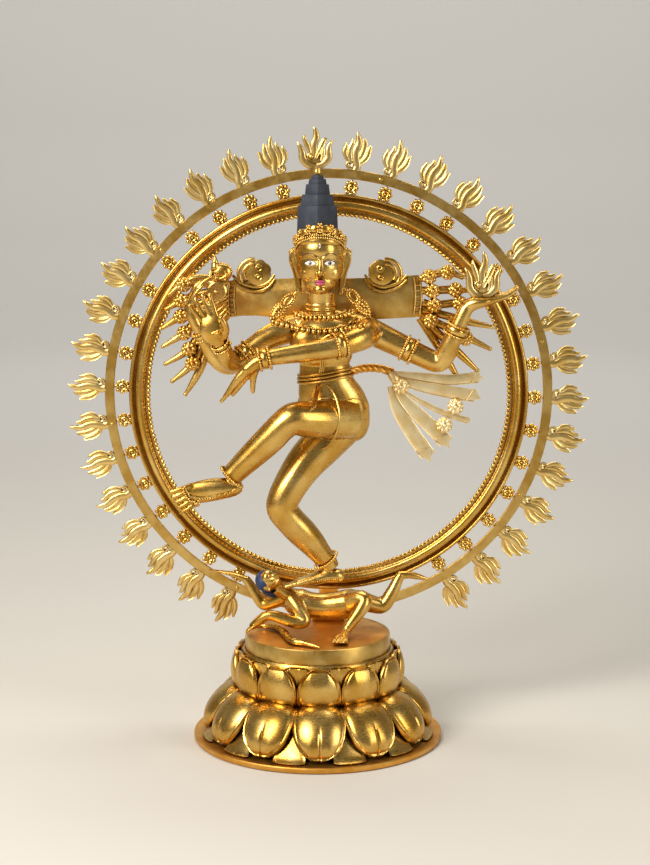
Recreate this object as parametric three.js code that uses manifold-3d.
// Dancing figure in a ring of flames, standing on a lying dwarf and a double lotus base.
// Millimetres, +Z up, the viewer stands at -Y. The origin is the middle of the base's underside.
import * as THREE from "three";
import { mergeVertices } from "three/addons/utils/BufferGeometryUtils.js";
import Module from "manifold-3d";

const wasm = await Module();
wasm.setup();

// Clearance between any two pieces that fit together.
const clearance = 0.3;

// Base.
const flangeRadius = 115;
const flangeThickness = 5.5;
const closingPlateRadius = 96;
const closingPlateThickness = 2.5;
const waistHeight = 46;
const platformRadius = 67;
const platformTop = 98.5;
const platformSeat = 75;
const petalCount = 12;

// Ring of flames.
const ringX = 10.2;
const ringY = 42;
const ringZ = 314.3;
const bandOuterRadius = 208.2;
const bandInnerRadius = 199.5;
const bandThickness = 3;
const mouldingOuterRadius = 185.5;
const mouldingInnerRadius = 170.2;
const beadRingRadius = 167.7;
const rosetteRadius = 6.3;
const flameStep = 9.4;
const flameStart = -3.2;
const flamesEachSide = 16;
const ringSegments = 48;
const flameStemWidth = 6;
const flameStemDepth = 2.2;

// Figure.
const bodyX = 5;
const tiaraLow = 457;
const tiaraHigh = 470;
const beltHeight = 338;

const gold = { color: 0xc79a3b, roughness: 0.34, metalness: 1 };
const paleGold = { color: 0xd9b462, roughness: 0.36, metalness: 1 };
const deepGold = { color: 0xb07a26, roughness: 0.4, metalness: 1 };
const darkHair = { color: 0x333a49, roughness: 0.7, metalness: 0 };
const blueHair = { color: 0x22304f, roughness: 0.7, metalness: 0 };

// A closed three.js geometry as a solid, with its faces turned outwards.
function toSolid(geometry) {
  geometry.deleteAttribute("normal");
  geometry.deleteAttribute("uv");
  const merged = mergeVertices(geometry, 1e-4);
  const index = merged.index.array;
  const kept = [];
  for (let i = 0; i < index.length; i += 3) {
    const [a, b, c] = [index[i], index[i + 1], index[i + 2]];
    if (a !== b && b !== c && c !== a) kept.push(a, b, c);
  }
  const vertProperties = merged.attributes.position.array;
  const made = new wasm.Manifold(
    new wasm.Mesh({ numProp: 3, vertProperties, triVerts: new Uint32Array(kept) }),
  );
  if (made.volume() > 0) return made;
  for (let i = 0; i < kept.length; i += 3) [kept[i + 1], kept[i + 2]] = [kept[i + 2], kept[i + 1]];
  return new wasm.Manifold(
    new wasm.Mesh({ numProp: 3, vertProperties, triVerts: new Uint32Array(kept) }),
  );
}

function union(solids) {
  return wasm.Manifold.union(solids);
}

function cutBy(solid, others) {
  return solid.subtract(union(others));
}

function boxBetween(low, high) {
  const size = high.map((value, i) => value - low[i]);
  const geometry = new THREE.BoxGeometry(...size);
  geometry.translate(...high.map((value, i) => (value + low[i]) / 2));
  return toSolid(geometry);
}

// A turned shape about the Z axis, from pairs of radius and height.
function turned(profile, segments) {
  const points = profile.map(([radius, height]) => new THREE.Vector2(radius, height));
  const geometry = new THREE.LatheGeometry(points, segments);
  geometry.rotateX(Math.PI / 2);
  return toSolid(geometry);
}

// A turned ring about the flame ring's own axis, from pairs of radius and depth behind its plane.
function ringTurned(profile, segments) {
  const closed = [...profile, profile[0]];
  const points = closed.map(([radius, depth]) => new THREE.Vector2(radius, depth));
  const geometry = new THREE.LatheGeometry(points, segments);
  geometry.translate(ringX, ringY, ringZ);
  return toSolid(geometry);
}

// A ball stretched along the three axes.
function egg([x, y, z], [rx, ry, rz], grow = 0, turnY = 0) {
  const geometry = new THREE.SphereGeometry(1, 10, 6);
  geometry.scale(rx + grow, ry + grow, rz + grow);
  geometry.rotateY(turnY);
  geometry.translate(x, y, z);
  return toSolid(geometry);
}

// Stations of a limb: its joints, with one or two smaller ones past each end that round it off.
function limbStations(joints, grow) {
  const stations = joints.map(([x, y, z, radius]) => ({
    centre: new THREE.Vector3(x, y, z),
    radius: radius + grow,
  }));
  const roundOff = (last, before) => {
    const out = last.centre.clone().sub(before.centre).normalize();
    return [
      [0.6, 0.8],
      [0.95, 0.32],
    ].map(([reach, share]) => ({
      centre: last.centre.clone().addScaledVector(out, last.radius * reach),
      radius: last.radius * share,
    }));
  };
  const head = roundOff(stations[0], stations[1]).reverse();
  const tail = roundOff(stations.at(-1), stations.at(-2));
  return [...head, ...stations, ...tail];
}

// A bent, tapered body through joints that are each given as x, y, z and radius.
// A straight cylinder's rows of points are moved out to the stations and turned to face along the path.
function limb(joints, grow = 0, sides = 8) {
  const stations = limbStations(joints, grow);
  const rows = stations.length;
  const geometry = new THREE.CylinderGeometry(1, 1, 1, sides, rows - 1);
  const position = geometry.getAttribute("position");
  const along = stations.map((station, i) => {
    const before = stations[Math.max(i - 1, 0)].centre;
    const after = stations[Math.min(i + 1, rows - 1)].centre;
    return after.clone().sub(before).normalize();
  });
  const turns = [new THREE.Quaternion().setFromUnitVectors(new THREE.Vector3(0, 1, 0), along[0])];
  for (let i = 1; i < rows; i += 1) {
    const step = new THREE.Quaternion().setFromUnitVectors(along[i - 1], along[i]);
    turns.push(step.multiply(turns[i - 1]));
  }
  for (let i = 0; i < position.count; i += 1) {
    const row = Math.round((position.getY(i) + 0.5) * (rows - 1));
    const { centre, radius } = stations[row];
    const point = new THREE.Vector3(position.getX(i) * radius, 0, position.getZ(i) * radius);
    point.applyQuaternion(turns[row]).add(centre);
    position.setXYZ(i, point.x, point.y, point.z);
  }
  return toSolid(geometry);
}

// A flat plate from an outline in X and Z, with its middle plane at the given depth.
function plate(outline, depth, thickness) {
  const shape = new THREE.Shape(outline.map(([x, z]) => new THREE.Vector2(x, z)));
  const geometry = new THREE.ExtrudeGeometry(shape, { depth: thickness, bevelEnabled: false });
  geometry.rotateX(Math.PI / 2);
  geometry.translate(0, depth + thickness / 2, 0);
  return toSolid(geometry);
}

// A round collar standing proud of an arm or leg.
function cuff(centre, direction, radius, width, grow = 0) {
  const geometry = new THREE.CylinderGeometry(radius + grow, radius + grow, width + 2 * grow, 7);
  const along = new THREE.Vector3(...direction).normalize();
  geometry.applyQuaternion(new THREE.Quaternion().setFromUnitVectors(new THREE.Vector3(0, 1, 0), along));
  geometry.translate(...centre);
  return toSolid(geometry);
}

// ---- Base ----

function lotusPetals(radius, height, [wide, deep, tall], lean) {
  const petals = [];
  for (let i = 0; i < petalCount; i += 1) {
    const geometry = new THREE.SphereGeometry(1, 6, 5);
    geometry.scale(wide, deep, tall);
    geometry.rotateX(lean);
    geometry.translate(0, -radius, height);
    geometry.rotateZ((i / petalCount) * Math.PI * 2 + 0.02);
    petals.push(toSolid(geometry));
  }
  return union(petals);
}

function closingPlate() {
  return turned(
    [
      [0, 0],
      [closingPlateRadius, 0],
      [closingPlateRadius, closingPlateThickness],
      [0, closingPlateThickness],
    ],
    24,
  );
}

function lotusLower() {
  const core = turned(
    [
      [0, 0],
      [flangeRadius, 0],
      [flangeRadius, flangeThickness],
      [98, 7],
      [88, 22],
      [70, waistHeight],
      [0, waistHeight],
    ],
    48,
  );
  const petals = lotusPetals(81, 22, [23, 15, 19], 0.42);
  const floorCut = boxBetween([-200, -200, -50], [200, 200, flangeThickness - 0.4]);
  const hollow = turned(
    [
      [0, -1],
      [closingPlateRadius + clearance, -1],
      [closingPlateRadius + clearance, closingPlateThickness + clearance],
      [80, closingPlateThickness + clearance],
      [46, 40],
      [20, 40],
      [20, waistHeight + 1],
      [0, waistHeight + 1],
    ],
    24,
  );
  return core.add(petals.subtract(floorCut)).subtract(hollow);
}

function lotusUpper() {
  const low = waistHeight + clearance;
  const core = turned(
    [
      [0, low],
      [69, low],
      [74, 64],
      [72, 86],
      [0, 86],
    ],
    48,
  );
  const petals = lotusPetals(58, 66, [19, 20, 20], -0.1);
  const topCut = boxBetween([-200, -200, 86], [200, 200, 120]);
  const lowCut = boxBetween([-200, -200, 0], [200, 200, low]);
  const seat = turned(
    [
      [0, platformSeat - clearance],
      [platformRadius + clearance, platformSeat - clearance],
      [platformRadius + clearance, 90],
      [0, 90],
    ],
    48,
  );
  const spigot = turned(
    [
      [0, 32],
      [20 - clearance, 32],
      [20 - clearance, waistHeight + 4],
      [0, waistHeight + 4],
    ],
    16,
  );
  return core.add(cutBy(petals, [topCut, lowCut])).subtract(seat).add(spigot);
}

function platformBlank(grow) {
  return turned(
    [
      [0, platformSeat],
      [platformRadius + grow, platformSeat],
      [platformRadius + grow, platformTop - 0.8],
      [platformRadius - 0.8 + grow, platformTop + grow],
      [0, platformTop + grow],
    ],
    48,
  );
}

// ---- Ring of flames ----

function haloBandBlank() {
  return ringTurned(
    [
      [bandInnerRadius, -bandThickness / 2],
      [bandOuterRadius, -bandThickness / 2],
      [bandOuterRadius, bandThickness / 2],
      [bandInnerRadius, bandThickness / 2],
    ],
    ringSegments,
  );
}

function haloMouldingBlank() {
  return ringTurned(
    [
      [mouldingInnerRadius, -6.5],
      [172.3, -8.6],
      [176.6, -8],
      [180, -3],
      [184, -4.2],
      [mouldingOuterRadius, 1.5],
      [mouldingInnerRadius, 1.5],
    ],
    ringSegments,
  );
}

function haloBeads() {
  const outline = [];
  for (let i = 0; i < 6; i += 1) {
    const angle = (i / 6) * Math.PI * 2;
    outline.push([beadRingRadius + 2.05 * Math.cos(angle), -8 + 2.05 * Math.sin(angle)]);
  }
  return ringTurned(outline, ringSegments);
}

// A point of the ring at a radius and an angle in degrees, clockwise from the top.
function ringPoint(radius, degrees) {
  const angle = THREE.MathUtils.degToRad(degrees);
  return [ringX + radius * Math.sin(angle), ringZ + radius * Math.cos(angle)];
}

function rosettes() {
  const made = [];
  for (let i = -flamesEachSide; i <= flamesEachSide; i += 1) {
    const middle = (bandInnerRadius + mouldingOuterRadius) / 2 - 0.9;
    const [x, z] = ringPoint(middle, flameStart + i * flameStep);
    const geometry = new THREE.CylinderGeometry(rosetteRadius + 0.7, rosetteRadius + 0.7, 4, 6);
    geometry.rotateY(THREE.MathUtils.degToRad(flameStart + i * flameStep));
    geometry.translate(x, ringY - 0.5, z);
    made.push(toSolid(geometry));
  }
  return union(made);
}

// Outline of a side flame: across the stem, outward from the band's rim. It curls to the left.
const sideFlame = [
  [-3, -flameStemDepth],
  [3, -flameStemDepth],
  [3, 1],
  [9, 5],
  [11.5, 17],
  [8, 14],
  [8, 25],
  [4.5, 21],
  [-2, 35],
  [-4, 25],
  [-7, 29],
  [-8, 22],
  [-11, 24],
  [-8, 10],
  [-12, 7],
  [-8, 1.5],
  [-3, 1],
];

// Outline of the top flame, symmetrical about its stem.
const topFlameHalf = [
  [3, -flameStemDepth],
  [3, 2],
  [8, 4],
  [13, 10],
  [13, 17],
  [16.5, 25],
  [10, 20],
  [9, 29],
  [5, 24],
  [0, 37.6],
];

function flameOutline(index) {
  if (index === 0) {
    const mirrored = topFlameHalf.slice(0, -1).map(([x, z]) => [-x, z]);
    return [...topFlameHalf, ...mirrored.reverse()];
  }
  if (index > 0) return sideFlame;
  return sideFlame.map(([x, z]) => [-x, z]).reverse();
}

function flame(index) {
  const degrees = flameStart + index * flameStep;
  const geometry = new THREE.ExtrudeGeometry(
    new THREE.Shape(flameOutline(index).map(([x, z]) => new THREE.Vector2(x, z))),
    { depth: 3, bevelEnabled: false },
  );
  geometry.rotateX(Math.PI / 2);
  geometry.translate(0, 1.5, 0);
  geometry.rotateY(THREE.MathUtils.degToRad(degrees));
  const [x, z] = ringPoint(bandOuterRadius + clearance, degrees);
  geometry.translate(x, ringY, z);
  return toSolid(geometry);
}

// Notches in the band's rim that take the flames' stems.
function flameNotches() {
  const notches = [];
  for (let i = -flamesEachSide; i <= flamesEachSide; i += 1) {
    const degrees = flameStart + i * flameStep;
    const geometry = new THREE.BoxGeometry(flameStemWidth + 2 * clearance, 6, flameStemDepth + 3);
    geometry.rotateY(THREE.MathUtils.degToRad(degrees));
    const [x, z] = ringPoint(bandOuterRadius - flameStemDepth / 2 + 1.4, degrees);
    geometry.translate(x, ringY, z);
    notches.push(toSolid(geometry));
  }
  return union(notches);
}

function haloFootBlank(grow) {
  const half = 15 + grow;
  return union([
    boxBetween([ringX - half, 37.5 - grow, 86 - grow], [ringX + half, 46.5 + grow, 122]),
    boxBetween([ringX - 10, 37.5, 120], [ringX + 10, 46.5, 136]),
  ]);
}

// ---- Dwarf ----

const dwarfPegs = [
  [
    [0, 8, 88, 4],
    [0, 8, 120, 4],
  ],
  [
    [26, 8, 88, 4],
    [26, 8, 120, 4],
  ],
];

function dwarfShape(grow = 0) {
  const thin = (joints) => limb(joints, grow, 6);
  return union([
    limb([[-18, 7, 123.5, 14.4], [6, 7, 121, 13], [31, 7, 123.5, 14]], grow, 8),
    thin([[-20, 5, 127, 9], [-35, 3, 136, 7.2], [-41, 2, 141, 7]]),
    egg([-46.8, 1, 145.8], [10.4, 9.6, 11.4], grow, -0.5),
    thin([[-24.6, -4, 129, 7.2], [-12, -13, 112.8, 6], [-45, -14, 118, 5.2], [-59, -12, 107, 4]]),
    thin([[-33, 14, 127, 7], [-50, 22, 119, 5.6], [-65, 25, 138, 4.6], [-98, 26, 149, 1.9]]),
    thin([[33, -2, 127, 10], [42.6, -12, 130, 7], [31.5, -22, 114, 5.6], [25, -22, 104, 4.8]]),
    thin([[25, -20, 103, 4.2], [20, -48, 102.2, 3.2]]),
    thin([[40, 13, 124, 9], [60, 14, 119, 7.4], [77, 18, 148, 4.6], [74, 17, 143, 5.2]]),
    thin([[77, 18, 148, 4.4], [90, 19, 146, 3.4], [101, 20, 143.4, 1.9]]),
  ]);
}

function dwarfHairShape(grow = 0) {
  return union([
    egg([-50, 5, 149], [11.4, 9.4, 10.4], grow, -0.5),
    limb([[-54, 8, 146, 6], [-58, 11, 136, 3.5]], grow, 6),
  ]);
}

function snakeShape() {
  const low = platformTop + clearance + 2.4;
  return limb(
    [
      [-54, -14, low, 1.4],
      [-38, -28, low, 2.2],
      [-26, -41, low, 2.4],
      [-8, -46, low, 2.4],
      [2, -57, low, 3],
      [8, -58, low, 2.2],
    ],
    0,
    6,
  );
}

// ---- Figure ----

function torsoShape(grow = 0) {
  return union([
    egg([bodyX + 1, -3, 368], [30, 20, 26], grow),
    egg([bodyX + 1.5, -1, 341], [22.6, 16, 18], grow),
    egg([bodyX - 1, -3, 323], [26.6, 19, 19], grow),
    egg([18.6, 0, 301], [30, 21, 23], grow),
    egg([29, 3, 293.5], [20.5, 18, 19], grow),
    limb([[-26, 1, 380, 12], [8, 1, 386, 13], [43, 1, 379.5, 13]], grow, 8),
  ]);
}

const neckPeg = [[4, 0, 376, 5], [3.4, 0, 402, 5]];

function headShape(grow = 0) {
  return union([
    egg([2.3, -7, 446], [21.6, 21.4, 27], grow),
    egg([2.5, -9, 434], [20.6, 19.6, 21.6], grow),
    egg([2.6, -12, 423], [13, 14, 11], grow),
    limb([[4, 0, 392, 14.5], [2.8, -1, 412, 13]], grow, 8),
    limb([[-19.6, -4, 444, 4.6], [-19.6, -2, 427, 3.6], [-18.6, -2, 411, 3.2]], grow, 6),
    limb([[24.4, -4, 445, 4.6], [24.4, -2, 429, 3.6], [24, -2, 416, 3.2]], grow, 6),
  ]);
}

function tiara() {
  const slab = boxBetween([-40, -50, tiaraLow], [45, 40, tiaraHigh]);
  return headShape(3).intersect(slab).subtract(headShape(clearance));
}

// Stepped square tiers with one corner to the front.
const spireX = 0.1;
const spireY = -4;
const spireTiers = [
  [25.2, 468, 490.2],
  [19.2, 490.2, 500.2],
  [14.4, 500.2, 509.2],
  [10.8, 509.2, 514],
  [7.2, 514, 517.4],
];

function spireShape() {
  const tiers = spireTiers.map(([side, low, high]) => {
    const geometry = new THREE.BoxGeometry(side, side, high - low + 0.4);
    geometry.rotateZ(Math.PI / 4);
    geometry.translate(spireX, spireY, (low + high) / 2);
    return toSolid(geometry);
  });
  return union(tiers);
}

function finial(grow = 0) {
  const made = turned(
    [
      [0, 510],
      [1.6 + grow, 510],
      [1.6 + grow, 517.8 + clearance],
      [3.4 + grow, 518.6 + clearance],
      [3.2 + grow, 524],
      [0, 528],
    ],
    12,
  );
  return made.translate([spireX, spireY, 0]);
}

const frontRightPeg = [[-14, -1, 378, 4], [-36, -5, 376, 4]];

const frontRightJoints = [
  [-31, -5, 378, 12.2],
  [-50, -10, 369, 10.8],
  [-73, -19, 352, 10.4],
  [-84, -35, 366, 7.8],
  [-88, -39, 374, 6.4],
];

function frontRightArmShape(grow = 0) {
  const finger = (tip) => limb([[-95, -43, 391, 3], tip], grow, 4);
  return union([
    limb(frontRightJoints, grow, 8),
    egg([-92, -42, 382], [12, 5.4, 13.4], grow, -0.3),
    finger([-112, -40, 405.5, 2.3]),
    finger([-105.8, -40, 411, 2.4]),
    finger([-99.6, -40, 414.5, 2.4]),
    finger([-94, -41, 413.5, 2.3]),
    limb([[-86, -44, 380, 3.2], [-83, -46, 391, 2.4]], grow, 6),
    cuff([-65, -15.6, 358.6], [-23, -9, -17], 12.4, 7, grow),
    cuff([-82, -32, 363.4], [-11, -16, 14], 9.8, 5, grow),
  ]);
}

const frontLeftPeg = [[30, -1, 375, 4], [44, -8, 377, 4]];

const frontLeftJoints = [
  [44, -8, 377, 14],
  [14, -37, 367, 10.4],
  [-20, -43, 362, 8.6],
  [-47, -46, 357.6, 7.2],
  [-63, -46, 347, 5.6],
];

function frontLeftArmShape(grow = 0) {
  const finger = (x) => limb([[-64, -46, 346, 3], [x, -45, 334, 2.6], [x - 9, -44, 320, 1.7]], grow, 4);
  return union([
    limb(frontLeftJoints, grow, 8),
    finger(-75),
    finger(-71),
    finger(-67),
    limb([[-56, -44, 350, 3.2], [-57, -42, 327, 2.2]], grow, 6),
    cuff([26, -25.5, 371], [-30, -29, -10], 13.6, 7, grow),
    cuff([-41, -45.2, 358.6], [-27, -3, -4], 9.8, 5, grow),
  ]);
}

const backRightPeg = [[-12, 11, 376, 4], [-36, 11, 373, 4]];

const backRightJoints = [
  [-30, 9, 377, 11.4],
  [-80, 6, 346, 10.4],
  [-98.8, 0, 364.5, 8],
  [-108.4, -4, 383, 6],
];

const backRightHandJoints = [
  [-108.4, -4, 383, 6],
  [-112.7, -5, 401, 4.6],
  [-105.3, -5, 419, 2.7],
  [-92, -5, 427, 1.8],
];

function backRightArmShape(grow = 0) {
  return union([
    limb(backRightJoints, grow, 8),
    limb(backRightHandJoints, grow, 6),
    cuff([-64, 7, 355.8], [-50, -3, -31], 12.6, 7, grow),
    cuff([-105.8, -3, 377.6], [-9.6, -4, 18], 8.8, 5, grow),
  ]);
}

const backLeftPeg = [[30, 11, 380, 4], [54, 10, 375, 4]];

const backLeftJoints = [
  [50, 9, 376.5, 12.2],
  [78, 5, 362.6, 11.6],
  [109, 1, 348.6, 10],
  [119.6, -4, 367, 9.4],
  [130, -8, 391, 7.8],
  [135, -8, 400, 6.6],
];

function backLeftArmShape(grow = 0) {
  return union([
    limb(backLeftJoints, grow, 8),
    egg([147, -8, 404.4], [14, 8.4, 5.4], grow, -0.25),
    limb([[156, -8, 406, 4.4], [180, -8, 417.4, 1.8]], grow, 6),
    cuff([84, 4.2, 359.9], [29, -4, -15], 13.6, 7, grow),
    cuff([127, -6.6, 384.6], [10, -4, 24], 10.2, 6, grow),
  ]);
}

const raisedLegPeg = [[26, -7, 301, 5.5], [8, -25, 301, 5.5]];

const raisedLegJoints = [
  [25, -9, 299, 19],
  [2.3, -28, 301.5, 17.2],
  [-21.6, -42, 305, 15.8],
  [-46, -41, 282, 13.8],
  [-77, -38, 251.5, 9.4],
];

function raisedLegShape(grow = 0) {
  const toe = (x, z) => limb([[-118, -42, 236, 3.4], [x, -42, z, 2.4]], grow, 4);
  return union([
    limb(raisedLegJoints, grow, 8),
    limb([[-73, -36, 243, 8], [-98, -40, 243.4, 8.4], [-118, -42, 235.6, 6.6]], grow, 8),
    toe(-130, 237.4),
    toe(-132, 233.4),
    toe(-130, 229.6),
    cuff([-74, -38.2, 254.6], [-31, 3, -30.5], 11.4, 5, grow),
  ]);
}

const standingLegPeg = [[17, 8, 296, 6], [10, 0, 276, 6]];
const footPeg = [[12, 1, 150, 3.5], [12, 6, 124, 3.5]];

const standingLegJoints = [
  [15, 3, 285, 20.6],
  [-10.5, -8, 260, 18.6],
  [-32, -18, 224, 16],
  [-16, -11, 197, 15.4],
  [1.3, -4, 175, 12],
  [10.5, -2, 162.6, 9.8],
];

function standingLegShape(grow = 0) {
  return union([
    limb(standingLegJoints, grow, 8),
    limb([[20, 0, 150, 8.2], [-10.7, -3, 147.6, 7.4], [-25, -5, 144.4, 5]], grow, 8),
    cuff([7.4, -2.6, 166.6], [9, 2, -12], 12, 5, grow),
  ]);
}

// Flat panel of hair behind the neck, its scrolls, its side locks and their flowers.
const panelDepth = 18;

const panelOutline = [
  [-83, 388.5],
  [-54, 390],
  [-20, 386],
  [30, 386],
  [59, 386.5],
  [97, 389],
  [93, 427],
  [31, 423.5],
  [-25, 423.5],
  [-80.5, 421.5],
];

const rightLockTips = [
  [127, 437],
  [131, 425.5],
  [137.5, 413.5],
  [144, 402.5],
  [159.5, 380.5],
  [157.5, 360],
  [146.5, 340],
  [128.5, 334],
];

const leftLockTips = [
  [-119, 423.5],
  [-135, 409],
  [-138.5, 396.5],
  [-141.5, 379],
  [-141, 362],
  [-139, 346],
  [-133.5, 330.5],
  [-121, 318],
];

function lockFan(tips, rootX, rootHigh, rootLow) {
  return tips.map(([x, z], i) => {
    const rootZ = rootHigh + ((rootLow - rootHigh) * i) / (tips.length - 1);
    const bendX = rootX + (x - rootX) * 0.55;
    const bendZ = rootZ + (z - rootZ) * 0.3;
    return limb([[rootX, 17.5, rootZ, 3.4], [bendX, 16.5, bendZ, 3.2], [x, 15, z, 1.5]], 0, 4);
  });
}

function flower(x, y, z, radius) {
  const geometry = new THREE.CylinderGeometry(radius, radius, 6, 6);
  geometry.translate(x, y, z);
  return toSolid(geometry);
}

function hairPanelShape() {
  const scroll = (x) => [egg([x, 16.5, 429], [16, 3.6, 13])];
  return union([
    plate(panelOutline, panelDepth, 3),
    ...scroll(60),
    ...scroll(-56),
    ...lockFan(rightLockTips, 92, 420, 392),
    ...lockFan(leftLockTips, -80, 416, 391),
    limb([[-89, 17, 414, 4], [-91, 15, 432, 5], [-93, 14, 446, 1.5]], 0, 5),
  ]);
}

// Cords round the waist, the twisted end at the side and the scarf tails.
function waistSashShape() {
  const slab = boxBetween([-60, -60, beltHeight - 4.5], [80, 60, beltHeight + 4.5]);
  const belt = torsoShape(2.6).intersect(slab).subtract(torsoShape(clearance));
  const tails = [
    [[64, 340], [98, 340], [147, 334], [120, 326], [70, 332]],
    [[64, 336], [104, 327], [144, 315.5], [138, 305], [96, 312], [66, 331]],
    [[66, 334], [92, 314], [119, 274.5], [108, 279], [100, 262], [88, 276], [72, 316]],
  ].map((outline) => plate(outline, 12, 2.6));
  return union([
    belt,
    limb([[28, 5, beltHeight, 3.6], [44, 10, 339, 3.6], [68, 12, 336, 4.6]], 0, 8),
    ...tails,
    flower(76.5, 9.5, 324, 7.3),
    flower(126, 9.5, 309, 7),
    flower(112, 9.5, 288, 7),
  ]);
}

function necklace() {
  const geometry = new THREE.BoxGeometry(90, 90, 12);
  geometry.rotateX(0.5);
  geometry.translate(4, 0, 389);
  const collar = torsoShape(2.8).intersect(toSolid(geometry));
  return cutBy(collar, [torsoShape(clearance), headShape(clearance)]);
}

function handFlameShape() {
  const half = [
    [2.5, 404],
    [4, 412],
    [9, 416],
    [13.5, 426],
    [16, 434],
    [9.5, 428],
    [10, 440],
    [5.5, 434],
    [0, 451],
  ];
  const whole = [...half, ...half.slice(0, -1).map(([x, z]) => [-x, z]).reverse()];
  return plate(whole.map(([x, z]) => [x + 148, z]), -9, 5);
}

function handDrumShape() {
  const geometry = new THREE.CylinderGeometry(8.6, 8.6, 9, 14);
  geometry.translate(-90.4, -2, 413.6);
  return union([toSolid(geometry), limb([[-92, -3, 412, 2], [-112, -5, 403, 2]], 0, 6)]);
}

// ---- The nodes ----

const group = new THREE.Group();

function addNode(name, solid, look) {
  const data = solid.getMesh();
  const count = data.numVert;
  const positions = new Float32Array(count * 3);
  for (let i = 0; i < count; i += 1) {
    for (let k = 0; k < 3; k += 1) positions[i * 3 + k] = data.vertProperties[i * data.numProp + k];
  }
  const geometry = new THREE.BufferGeometry();
  geometry.setAttribute("position", new THREE.BufferAttribute(positions, 3));
  geometry.setIndex(new THREE.BufferAttribute(new Uint32Array(data.triVerts), 1));
  const mesh = new THREE.Mesh(geometry, new THREE.MeshStandardMaterial(look));
  mesh.name = name;
  group.add(mesh);
}

function pegSolid(peg, grow = 0) {
  return limb(peg, grow, 6);
}

const armPegs = [frontRightPeg, frontLeftPeg, backRightPeg, backLeftPeg];
const torsoPegs = [neckPeg, ...armPegs, raisedLegPeg, standingLegPeg];
const torsoCut = torsoShape(clearance);
const headCut = headShape(clearance);
const frontArmsCut = union([frontRightArmShape(clearance), frontLeftArmShape(clearance)]);
const backArmsCut = union([backRightArmShape(clearance), backLeftArmShape(clearance)]);
const raisedLegCut = raisedLegShape(clearance);
const footCut = union([standingLegShape(clearance), pegSolid(footPeg, clearance)]);
const platformCut = platformBlank(clearance);
const haloBand = haloBandBlank().subtract(flameNotches());
const haloMoulding = haloMouldingBlank().add(rosettes());

// The part of a limb outside the torso, with the peg that holds it there.
function plugIn(shape, others, peg) {
  return cutBy(shape, [torsoCut, ...others]).add(pegSolid(peg));
}

addNode("base_closing_plate", closingPlate(), deepGold);
addNode("lotus_lower", lotusLower(), gold);
addNode("lotus_upper", lotusUpper(), gold);

const drumCuts = [haloFootBlank(clearance), ...dwarfPegs.map((peg) => pegSolid(peg, clearance))];
addNode("platform_drum", cutBy(platformBlank(0), drumCuts), deepGold);

const dwarfPegSolids = union(dwarfPegs.map((peg) => pegSolid(peg)));
const dwarfBody = cutBy(dwarfShape(), [platformCut, footCut]).add(dwarfPegSolids);
addNode("dwarf_body", dwarfBody, gold);
addNode("dwarf_hair", cutBy(dwarfHairShape(), [dwarfShape(clearance)]), blueHair);
addNode("snake", cutBy(snakeShape(), [dwarfShape(clearance), platformCut]), gold);

addNode("halo_outer_band", haloBand, gold);
addNode("halo_moulding", haloMoulding, gold);
addNode("halo_bead_ring", haloBeads(), gold);
const footBlock = cutBy(haloFootBlank(0), [
  ringTurned(
    [
      [bandInnerRadius - clearance, -bandThickness / 2 - clearance],
      [bandOuterRadius + clearance, -bandThickness / 2 - clearance],
      [bandOuterRadius + clearance, bandThickness / 2 + clearance],
      [bandInnerRadius - clearance, bandThickness / 2 + clearance],
    ],
    ringSegments,
  ),
  ringTurned(
    [
      [mouldingInnerRadius - 4, -12],
      [mouldingOuterRadius + 0.5, -12],
      [mouldingOuterRadius + 0.5, 12],
      [mouldingInnerRadius - 4, 12],
    ],
    ringSegments,
  ),
]);
addNode("halo_foot", footBlock, deepGold);

for (let i = -flamesEachSide; i <= flamesEachSide; i += 1) {
  const side = i < 0 ? "left_" : "right_";
  const name = i === 0 ? "flame_top" : "flame_" + side + String(Math.abs(i)).padStart(2, "0");
  addNode(name, flame(i), paleGold);
}

addNode("torso", cutBy(torsoShape(), torsoPegs.map((peg) => pegSolid(peg, clearance))), gold);
addNode("head", plugIn(headShape(), [], neckPeg), gold);
addNode("tiara", tiara(), gold);
const tiaraSpace = boxBetween([-40, -50, 400], [45, 40, tiaraHigh + clearance]);
const tiaraCut = headShape(3 + clearance).intersect(tiaraSpace);
addNode("hair_spire", cutBy(spireShape(), [headCut, tiaraCut, finial(clearance)]), darkHair);
addNode("spire_finial", finial(), gold);
addNode("front_right_arm", plugIn(frontRightArmShape(), [], frontRightPeg), gold);
addNode("front_left_arm", plugIn(frontLeftArmShape(), [], frontLeftPeg), gold);
addNode("back_right_arm", plugIn(backRightArmShape(), [frontArmsCut], backRightPeg), gold);
addNode("back_left_arm", plugIn(backLeftArmShape(), [frontArmsCut], backLeftPeg), gold);
addNode("raised_leg", plugIn(raisedLegShape(), [], raisedLegPeg), gold);
const standingLeg = plugIn(standingLegShape(), [raisedLegCut], standingLegPeg).add(pegSolid(footPeg));
addNode("standing_leg", standingLeg, gold);
const bodyCuts = [torsoCut, headCut, frontArmsCut, backArmsCut];
addNode("hair_panel", cutBy(hairPanelShape(), bodyCuts), gold);
addNode("waist_sash", cutBy(waistSashShape(), [torsoCut, frontArmsCut, backArmsCut]), paleGold);
addNode("hand_flame", cutBy(handFlameShape(), [backLeftArmShape(clearance)]), paleGold);
addNode("hand_drum", cutBy(handDrumShape(), [backRightArmShape(clearance)]), gold);
addNode("necklace", cutBy(necklace(), [frontArmsCut, backArmsCut]), gold);

export default group;
